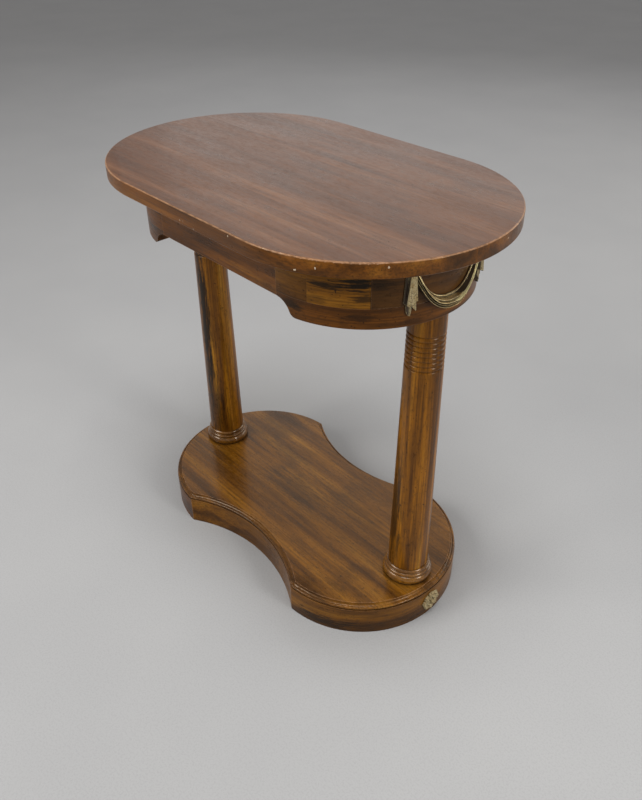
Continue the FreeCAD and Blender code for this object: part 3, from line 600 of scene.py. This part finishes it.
# Share of a fold's height that is lost at the end, and the power of the loss
GATHER_LEFT = (0.35, 3)
GATHER_RIGHT = (0.5, 1.5)
LOWER_FOLDS_LEFT = 1.2                            # how much prouder they are there
LOWER_SHEET_LEFT = 2.2                            # mm further out there
# Shares across where the sheet steps out from the wood: in the middle, what the right end adds,
# and the power of that, then the width of the step
SHELF = (0.14, 0.2, 1.5)
SHELF_WIDTH = 0.2
SHEET_LOW = 1.0                                   # mm off the wood above the step
SHEET_STEP = 5.2                                  # mm
SHEET_STEP_LOSS = 0.7                             # share of the step lost at the right end
END_FADE = (4, 0.45)                              # slope to the ends, and what is left there
GAP_DARK = (0.09, 0.36)                           # shares across the sheet, at its right end, of the painted shadow in the gap
GAP_START = -0.10                                 # share of the half length where the gap begins
GAP_TAPER = 0.35
# Shares across the sheet of the fold that takes the painted highlight
HIGHLIGHT_FOLD = (0.42, 0.78)
SHADE_SLOT, HIGHLIGHT_SLOT = 1, 2                   # of a casting's materials: the painted shade, then the painted highlight


def festoon_surface(a, b):
    """Swag of gathered cloth with a beaded hem."""
    u = 2 * a - 1
    rightward, leftward = max(0.0, u), max(0.0, -u)
    edges = []
    for lowest, left, right in (FESTOON_TOP, FESTOON_HEM):
        lift, power = left if u < 0 else right
        edges.append(lowest + lift * abs(u) ** power)
    top, hem = edges
    height = top + (hem - top) * b

    shelf = SHELF[0] + SHELF[1] * rightward ** SHELF[2]
    rise = min(1.0, max(0.0, (b - shelf) / SHELF_WIDTH))
    out = SHEET_LOW + SHEET_STEP * rise * rise * (3 - 2 * rise) * (1 - SHEET_STEP_LOSS * rightward)
    loss, power = GATHER_LEFT if u < 0 else GATHER_RIGHT
    gathered = 1 - loss * abs(u) ** power
    for left, middle, right, width, proud in FESTOON_FOLDS:
        side = left if u < 0 else right
        centre = middle + (side - middle) * abs(u)
        lower_prouder = 1 + LOWER_FOLDS_LEFT * leftward * (centre - 0.5)
        swayed = centre + FOLD_SWAY * math.sin(FOLD_SWAY_TURN * u + proud)
        out += ridge(b, swayed, width, proud * gathered * lower_prouder)
    out += LOWER_SHEET_LEFT * leftward * b

    along = a * FESTOON_HALF * HEM_LENGTH
    bead = 0.5 + 0.5 * math.cos(2 * math.pi * along / HEM_PITCH)
    centre, width, proud = HEM_BEAD
    out += ridge(b, centre, width, proud * bead)
    fade = min(1.0, (1 - abs(u)) * END_FADE[0] + END_FADE[1])
    return u * FESTOON_HALF, height, out * fade * MM


def grown(band, share):
    """The part of a band that is there so far: none of it at share 0, all of it at 1."""
    return band[0], band[0] + (band[1] - band[0]) * share


def paint_light_on_right_side(festoon):
    """Towards the right, painted shadow in the gap under the upper strand and a painted highlight on the
    fold below it.
    """
    columns, rows = FESTOON_GRID
    for face in festoon.data.polygons[:columns * rows]:
        u = 2 * (face.index % columns) / columns - 1
        b = (face.index // columns) / rows
        start = min(1.0, max(0.0, (u - GAP_START) / GAP_TAPER))
        for (low, high), slot in ((grown(GAP_DARK, start), SHADE_SLOT),
                                  (grown(HIGHLIGHT_FOLD, start), HIGHLIGHT_SLOT)):
            if low < b < high:
                face.material_index = slot


def zigzag(a, corners):
    """Height of a hem through corners given as (share across, height)."""
    for (a0, z0), (a1, z1) in zip(corners, corners[1:]):
        if a <= a1:
            return z0 + (z1 - z0) * (a - a0) / (a1 - a0)
    return corners[-1][1]


# Layers of a hanging tail, front last, in mm. Outer and inner are the side edges, as arc lengths
# from the middle of the swag, at the top and at the hem. Hem holds the corners of the lower edge as
# (share across, height), from the outer side. Pleats are (share across, width as a share, height).
# Out is how far the top and the hem stand off the wood.
JABOT_LAYERS = {
    "lining": dict(outer=(65.3, 67.6), inner=(59.5, 62.0), hem=((0.0, 539.0), (0.5, 536.0), (1.0, 538.0)),
                   pleats=((0.3, 0.2, 0.5),), out=(1.6, 2.4)),
    "tail": dict(outer=(63.4, 64.8), inner=(58.4, 57.2),
                 hem=((0.0, 531.0), (0.12, 527.5), (0.3, 524.2), (0.46, 522.8), (0.62, 523.6),
                      (0.82, 527.5), (1.0, 533.0)),
                 pleats=((0.66, 0.18, 1.6),), out=(2.0, 2.6)),
    "point": dict(outer=(62.0, 63.2), inner=(56.0, 52.4),
                  hem=((0.0, 538.0), (0.4, 535.6), (0.84, 529.4), (1.0, 536.0)),
                  pleats=((0.42, 0.10, 1.2), (0.84, 0.10, 1.5)), out=(3.4, 4.2)),
    "side": dict(outer=(58.0, 57.0), inner=(53.5, 53.0), hem=((0.0, 553.0), (0.6, 550.0), (1.0, 558.0)),
                 pleats=((0.55, 0.22, 1.0),), out=(3.4, 3.4)),
    "front": dict(outer=(60.4, 65.4), inner=(55.6, 52.4),
                  hem=((0.0, 538.2), (0.16, 536.8), (0.45, 539.4), (0.8, 542.4), (1.0, 542.6)),
                  pleats=((0.08, 0.07, 1.0), (0.36, 0.12, 1.5), (0.70, 0.09, 0.9), (0.93, 0.06, 1.2)),
                  out=(5.4, 7.4)),
}
SHADED_LAYERS = {"lining": 1.0, "tail": 0.45, "point": 0.5}    # shares across, from the outer side, that take painted shade
SHADED_TAIL_SLOT = 2
JABOT_GRID = (48, 90)
JABOT_LID = 0.5                                   # mm below the top of the plain plate
SPREAD_POWER = 1.2                                # how late a layer spreads to its hem
PLEAT_RISE = (0.35, 0.65)                         # share of a pleat's height: top, what the hem adds
ROLLED_EDGE = (0.07, 0.8)                         # width as a share, and mm towards the wood


def jabot_surface(side, layer):
    """Surface of one layer. Side is -1 or 1 along the arc."""
    top = JABOT_TOP / MM - JABOT_LID
    lowest = min(z for _, z in layer["hem"])

    def surface(a, b):
        height = top + (zigzag(a, layer["hem"]) - top) * b
        share = (top - height) / (top - lowest)
        outer, inner, out = [ends[0] + (ends[1] - ends[0]) * share ** SPREAD_POWER
                             for ends in (layer["outer"], layer["inner"], layer["out"])]
        pleats = sum(ridge(a, centre, width, lift) for centre, width, lift in layer["pleats"])
        out += pleats * (PLEAT_RISE[0] + PLEAT_RISE[1] * share)
        out -= ridge(a, 0.0, *ROLLED_EDGE) + ridge(a, 1.0, *ROLLED_EDGE)
        return side * (outer + (inner - outer) * a) * MM, height * MM, out * MM
    return surface


def make_jabot(name, end, side, materials):
    """Folded tail of cloth that hangs at one side of the swag."""
    parts = []
    columns = JABOT_GRID[0]
    for key, layer in JABOT_LAYERS.items():
        part = relief(name + "_" + key, end, on_apron, *JABOT_GRID, jabot_surface(side, layer), CLEAR)
        for face in part.data.polygons:
            # Painted shade: the outer share of a layer takes the shade brass
            if face.index % columns < SHADED_LAYERS.get(key, 0.0) * columns:
                face.material_index = SHADE_SLOT
            # The rest of the tail layer takes the darker copy of the tail brass, painted shade
            elif key == "tail":
                face.material_index = SHADED_TAIL_SLOT
        parts.append(part)
    return join(name, parts, materials)


def join(name, parts, materials):
    """One object from several closed shells."""
    whole = bmesh.new()
    for part in parts:
        whole.from_mesh(part.data)
    mesh = bpy.data.meshes.new(name)
    whole.to_mesh(mesh)
    whole.free()
    for material in materials:
        mesh.materials.append(material)
    for part in parts:
        bpy.data.objects.remove(part)
    made = bpy.data.objects.new(name, mesh)
    bpy.context.scene.collection.objects.link(made)
    return made


LOBES = 8
FRILLS = 24
ROSETTE_R = 17 * MM
ROSETTE_GRID = (240, 56)
ROSETTE_BACK = 0.05 * MM                          # off the wood


def rosette_surface(centre_z):
    """Acanthus rosette in polar shares: a turns round it, b runs from the boss to the leaf tips."""
    def surface(a, b):
        turn = 2 * math.pi * a
        lobe = abs(math.cos(turn * LOBES / 2))
        frill = 0.5 + 0.5 * math.cos(turn * FRILLS)
        rim = ROSETTE_R * (0.80 + 0.15 * lobe ** 0.7 + 0.05 * frill)
        radius = rim * b
        outer_leaf = ridge(b, 0.86, 0.16, 2.4) * (0.35 + 0.65 * lobe)
        veins = 0.9 * frill * ridge(b, 0.8, 0.18, 1.0)
        inner_leaf = ridge(b, 0.47, 0.13, 3.6 * (0.3 + 0.7 * abs(math.sin(turn * LOBES / 2))))
        boss = 5.4 * math.exp(-((b / 0.2) ** 4))
        groove = ridge(b, 0.27, 0.05, 1.0)
        out = 1.4 + outer_leaf + veins + inner_leaf + boss - groove
        out *= 1 - 0.45 * max(0.0, (b - 0.93) / 0.07)
        return radius * math.cos(turn), centre_z + radius * math.sin(turn), out * MM
    return surface


def make_rosette(name, end, material):
    """Closed polar casting on the end of the plinth."""
    surface = rosette_surface((ROSETTE_LOW.z + ROSETTE_HIGH.z) / 2)
    turns, rings = ROSETTE_GRID
    following = [(i + 1) % turns for i in range(turns)]
    vertices = [on_plinth(end, *surface(0.0, 0.0))]
    for j in range(1, rings + 1):
        vertices += [on_plinth(end, *surface(i / turns, j / rings)) for i in range(turns)]
    faces = [(0, 1 + i, 1 + n) for i, n in enumerate(following)]
    for j in range(rings - 1):
        ring, beyond = 1 + j * turns, 1 + (j + 1) * turns
        faces += [(ring + i, beyond + i, beyond + n, ring + n) for i, n in enumerate(following)]
    last = 1 + (rings - 1) * turns
    back = len(vertices)
    for i in range(turns):
        across, height, _ = surface(i / turns, 1.0)
        vertices.append(on_plinth(end, across, height, ROSETTE_BACK))
    faces += [(last + i, back + i, back + n, last + n) for i, n in enumerate(following)]
    centre_across, centre_height, _ = surface(0.0, 0.0)
    vertices.append(on_plinth(end, centre_across, centre_height, ROSETTE_BACK))
    hub = len(vertices) - 1
    faces += [(hub, back + n, back + i) for i, n in enumerate(following)]
    made = add_mesh(name, vertices, faces)
    made.data.materials.append(material)
    return made


def place_piece(piece, body, *nodes):
    """Puts a casting on its body, in place of its plain plates."""
    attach(piece, body)
    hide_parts(*nodes)


def make_brass():
    """Both swags with their tails, and both rosettes."""
    swag = brass("brass_swag", 1.3)
    tail = brass("brass_tail", 4.1, stipple=1.0, tarnish_and_shade=0.38)
    # Darker copy of the tail brass, painting shade on the right tails and the rear tail layer
    shaded_tail = brass("brass_shaded_tail", 5.6, stipple=1.0, tarnish_and_shade=0.66)
    leaf = brass("brass_leaf", 7.7, stipple=0.6, tarnish_and_shade=0.6)
    # Painted shade: brass darkened almost to patina, for the walls, the gap and the dark strips of the
    # tails
    shade_brass = brass("brass_painted_shade", 9.2, tarnish_and_shade=0.97)
    # Painted highlight: pale, less metallic brass for the bright strand at the right
    wear_and_highlight = brass("brass_painted_highlight", 2.6, stipple=0.2, painted_gleam=1.0)
    for end, label, body in ((1, "near", "drawer"), (-1, "far", "frame")):
        festoon = relief("festoon_%s_cast" % label, end, on_apron, *FESTOON_GRID, festoon_surface, CLEAR)
        for material in (swag, shade_brass, wear_and_highlight):
            festoon.data.materials.append(material)
        paint_light_on_right_side(festoon)
        place_piece(festoon, body, "%s_festoon" % label)
        for side, hand in ((-1, "left"), (1, "right")):
            # The right tails take the darker copy of the tail brass, painted shade
            cloth = tail if side < 0 else shaded_tail
            jabot = make_jabot("jabot_%s_%s_cast" % (label, hand), end, side, (cloth, shade_brass, shaded_tail))
            place_piece(jabot, body, "%s_jabot_%s" % (label, hand))
        rosette = make_rosette("rosette_%s_cast" % label, end, leaf)
        place_piece(rosette, "frame", "rosette_%s" % label)


# ---- studio -------------------------------------------------------------------------------------
LENS = 34.24
SENSOR = 36.0
CAMERA_TARGET = Vector((188.2, -138.0, 416.0)) * MM
CAMERA_DISTANCE = 894.35 * MM
AZIMUTH = math.radians(47.97)
ELEVATION = math.radians(35.65)
ROLL = math.radians(-0.64)
LIGHT_AIM = (0.0, 0.0, 0.35)
# Name, place, size, watts and colour
LIGHTS = (("key", (-0.9, -2.1, 1.9), (1.3, 1.3), 42.0, (1.0, 0.97, 0.91)),
          ("right", (2.1, 0.2, 1.2), (0.5, 0.9), 19.0, (1.0, 0.98, 0.93)),
          ("back", (-1.5, 2.3, 2.0), (3.4, 2.2), 15.0, (1.0, 0.98, 0.97)),
          ("rim", (0.9, 2.5, 1.2), (1.5, 1.2), 14.0, (1.0, 0.97, 0.88)),
          ("overhead", (0.3, -0.3, 2.5), (0.9, 0.9), 28.0, (1.0, 0.99, 0.97)))
SKY_COLOUR = (1.0, 0.97, 0.94, 1.0)
SKY_STRENGTH = 0.4
FLOOR_REACH = 9.0


def make_camera():
    """Camera on a sphere about its target, turned by the roll."""
    back = Vector((math.sin(AZIMUTH) * math.cos(ELEVATION), -math.cos(AZIMUTH) * math.cos(ELEVATION),
                   math.sin(ELEVATION)))
    level = Vector((0, 0, 1)).cross(back).normalized()
    upright = back.cross(level)
    right = level * math.cos(ROLL) + upright * math.sin(ROLL)
    up = upright * math.cos(ROLL) - level * math.sin(ROLL)
    place = CAMERA_TARGET + back * CAMERA_DISTANCE
    data = bpy.data.cameras.new("camera")
    data.lens = LENS
    data.sensor_width = SENSOR
    camera = bpy.data.objects.new("camera", data)
    camera.matrix_world = Matrix.Translation(place) @ Matrix((right, up, back)).transposed().to_4x4()
    bpy.context.scene.collection.objects.link(camera)
    bpy.context.scene.camera = camera


def area_light(name, place, size, power, colour):
    """Rectangular light that faces the aim."""
    data = bpy.data.lights.new(name, "AREA")
    data.shape = "RECTANGLE"
    data.size, data.size_y = size
    data.energy = power
    data.color = colour
    light = bpy.data.objects.new(name, data)
    facing = (Vector(LIGHT_AIM) - Vector(place)).to_track_quat("-Z", "Y")
    light.matrix_world = Matrix.Translation(place) @ facing.to_matrix().to_4x4()
    bpy.context.scene.collection.objects.link(light)


def make_studio():
    """Lights, an even sky and the view transform."""
    for light in LIGHTS:
        area_light(*light)
    world = bpy.data.worlds.new("studio")
    world.use_nodes = True
    sky = world.node_tree.nodes["Background"]
    sky.inputs["Color"].default_value = SKY_COLOUR
    sky.inputs["Strength"].default_value = SKY_STRENGTH
    bpy.context.scene.world = world
    bpy.context.scene.view_settings.view_transform = "Standard"


def make_floor():
    """Pale sandy floor."""
    corners = [(x * FLOOR_REACH, y * FLOOR_REACH, 0) for x, y in ((-1, -1), (1, -1), (1, 1), (-1, 1))]
    mesh = bpy.data.meshes.new("floor")
    mesh.from_pydata(corners, [], [(0, 1, 2, 3)])
    floor = bpy.data.objects.new("floor", mesh)
    bpy.context.scene.collection.objects.link(floor)
    g = Graph("pale_floor")
    where = g.node("TexCoord").outputs["Object"]
    cloud = g.noise(where, (3.0, 3.0, 3.0), detail=3.0)
    sand = g.noise(where, (420.0, 420.0, 420.0), detail=2.0)
    colour = g.mix(cloud, linear(158, 159, 162), linear(168, 169, 171))
    colour = g.mix(g.remap(sand, 0.55, 0.35, 0.0, 0.15), colour, linear(118, 119, 122))
    mesh.materials.append(g.finish([(sand, 0.1 * MM)], None, Base_Color=colour, Roughness=0.8))


dress_nodes()
make_brass()
make_camera()
make_studio()
make_floor()
